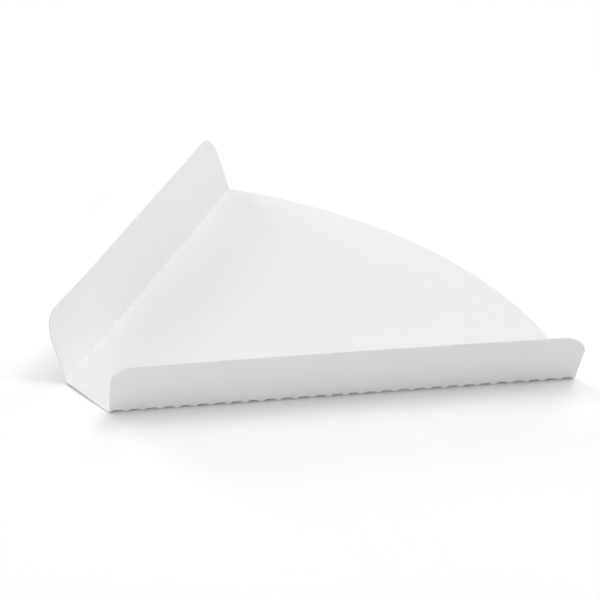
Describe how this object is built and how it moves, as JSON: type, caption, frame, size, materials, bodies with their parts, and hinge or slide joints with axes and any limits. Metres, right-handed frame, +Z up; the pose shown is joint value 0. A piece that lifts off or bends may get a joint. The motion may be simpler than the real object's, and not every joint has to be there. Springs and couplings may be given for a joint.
{
  "type": "pizza slice tray",
  "caption": "Open wedge-shaped tray for a slice of pizza: a flat base with a curved wide end and two low walls folded up along cut-and-crease lines.",
  "frame": {"origin": "on the underside of the base, on its middle line, halfway from the tip to the far point of the curved end", "axes": "+Z up, square to the base; +Y along the middle line from the narrow tip to the curved wide end; +X across, towards the wall that leans out further"},
  "size_m": [0.2181, 0.1816, 0.0249],
  "materials": {
    "white_board": "matte"
  },
  "bodies": {
    "root": {"slice_tray": "white_board"}
  },
  "joints": []
}
